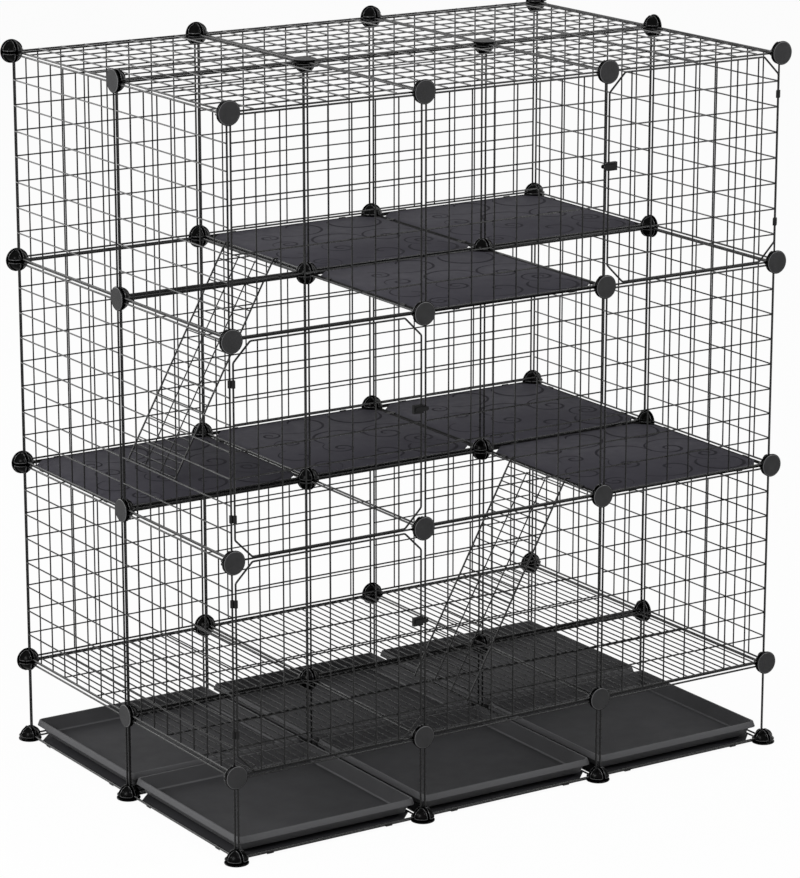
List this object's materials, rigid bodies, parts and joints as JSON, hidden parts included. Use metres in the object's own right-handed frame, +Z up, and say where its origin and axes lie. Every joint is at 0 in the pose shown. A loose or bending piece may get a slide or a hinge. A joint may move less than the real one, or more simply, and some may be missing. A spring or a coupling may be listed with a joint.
{
  "type": "cat cage",
  "caption": "Tall cage of square wire panels held by round plastic connectors, with hinged doors, shelves, wire ramps and pull-out trays.",
  "frame": {"origin": "centre of the footprint on the ground, under the middle of the cage", "axes": "+Z up, -Y to the front with the doors, +X to the right seen from the front"},
  "size_m": [1.105, 0.7498, 1.2308],
  "materials": {
    "wire": "satin",
    "shelf_plastic": "matt",
    "tray_plastic": "matt",
    "connector_plastic": "satin",
    "latch_plastic": "satin"
  },
  "bodies": {
    "frame": {"front_top_panels": "wire", "front_middle_panels": "wire", "front_bottom_panels": "wire", "back_top_panels": "wire", "back_middle_panels": "wire", "back_bottom_panels": "wire", "left_top_panels": "wire", "left_middle_panels": "wire", "left_bottom_panels": "wire", "right_top_panels": "wire", "right_middle_panels": "wire", "right_bottom_panels": "wire", "roof_panels": "wire", "floor_grids": "wire", "top_door_hinge_clips": "latch_plastic", "middle_door_hinge_clips": "latch_plastic", "bottom_door_hinge_clips": "latch_plastic", "upper_open_frames": "wire", "lower_open_frames": "wire", "upper_shelf_frames": "wire", "lower_shelf_frames": "wire", "upper_shelf_sheets": "shelf_plastic", "lower_shelf_sheets": "shelf_plastic", "top_divider_frames": "wire", "middle_divider_frames": "wire", "bottom_divider_frames": "wire", "cross_divider_frames": "wire", "front_leg_frames": "wire", "back_leg_frames": "wire", "left_leg_frames": "wire", "right_leg_frames": "wire", "inner_leg_frames": "wire", "base_frames": "wire", "base_sheets": "shelf_plastic", "front_connectors": "connector_plastic", "back_connectors": "connector_plastic", "left_connectors": "connector_plastic", "right_connectors": "connector_plastic", "roof_connectors": "connector_plastic", "inner_connectors": "connector_plastic", "foot_connectors": "connector_plastic"},
    "top_door": {"top_door": "wire", "top_door_latch_plate": "latch_plastic"},
    "top_button": {"top_door_turn_button": "latch_plastic"},
    "middle_door": {"middle_door": "wire", "middle_door_latch_plate": "latch_plastic"},
    "middle_button": {"middle_door_turn_button": "latch_plastic"},
    "bottom_door": {"bottom_door": "wire", "bottom_door_latch_plate": "latch_plastic"},
    "bottom_button": {"bottom_door_turn_button": "latch_plastic"},
    "tray_front_left": {"tray_front_left": "tray_plastic"},
    "tray_front_middle": {"tray_front_middle": "tray_plastic"},
    "tray_front_right": {"tray_front_right": "tray_plastic"},
    "tray_back_left": {"tray_back_left": "tray_plastic"},
    "tray_back_middle": {"tray_back_middle": "tray_plastic"},
    "tray_back_right": {"tray_back_right": "tray_plastic"},
    "upper_ramp": {"upper_ramp": "wire"},
    "lower_ramp": {"lower_ramp": "wire"}
  },
  "joints": [
    {"name": "top_door_hinge", "type": "hinge", "parent": "frame", "child": "top_door", "pos_m": [0.5284, -0.355, 1.03335], "axis": [0, 0, 1], "range_deg": [0, 120]},
    {"name": "top_door_turn", "type": "hinge", "parent": "top_door", "child": "top_button", "pos_m": [0.1916, -0.355, 1.05503], "axis": [0, 1, 0], "range_deg": [0, 90]},
    {"name": "middle_door_hinge", "type": "hinge", "parent": "frame", "child": "middle_door", "pos_m": [-0.5284, -0.355, 0.67835], "axis": [0, 0, -1], "range_deg": [0, 120]},
    {"name": "middle_door_turn", "type": "hinge", "parent": "middle_door", "child": "middle_button", "pos_m": [-0.1916, -0.355, 0.70003], "axis": [0, -1, 0], "range_deg": [0, 90]},
    {"name": "bottom_door_hinge", "type": "hinge", "parent": "frame", "child": "bottom_door", "pos_m": [-0.5284, -0.355, 0.32335], "axis": [0, 0, -1], "range_deg": [0, 120]},
    {"name": "bottom_door_turn", "type": "hinge", "parent": "bottom_door", "child": "bottom_button", "pos_m": [-0.1916, -0.355, 0.34502], "axis": [0, -1, 0], "range_deg": [0, 90]},
    {"name": "tray_front_left_slide", "type": "slide", "parent": "frame", "child": "tray_front_left", "axis": [0, -1, 0], "range_m": [0, 0.3]},
    {"name": "tray_front_middle_slide", "type": "slide", "parent": "frame", "child": "tray_front_middle", "axis": [0, -1, 0], "range_m": [0, 0.3]},
    {"name": "tray_front_right_slide", "type": "slide", "parent": "frame", "child": "tray_front_right", "axis": [0, -1, 0], "range_m": [0, 0.3]},
    {"name": "tray_back_left_slide", "type": "slide", "parent": "frame", "child": "tray_back_left", "axis": [0, 1, 0], "range_m": [0, 0.3]},
    {"name": "tray_back_middle_slide", "type": "slide", "parent": "frame", "child": "tray_back_middle", "axis": [0, 1, 0], "range_m": [0, 0.3]},
    {"name": "tray_back_right_slide", "type": "slide", "parent": "frame", "child": "tray_back_right", "axis": [0, 1, 0], "range_m": [0, 0.3]},
    {"name": "upper_ramp_hook", "type": "hinge", "parent": "frame", "child": "upper_ramp", "pos_m": [-0.1775, 0.1775, 0.85585], "axis": [0, 1, 0], "range_deg": [0, 25]},
    {"name": "lower_ramp_hook", "type": "hinge", "parent": "frame", "child": "lower_ramp", "pos_m": [0.1775, -0.1775, 0.50085], "axis": [0, 1, 0], "range_deg": [0, 25]}
  ]
}
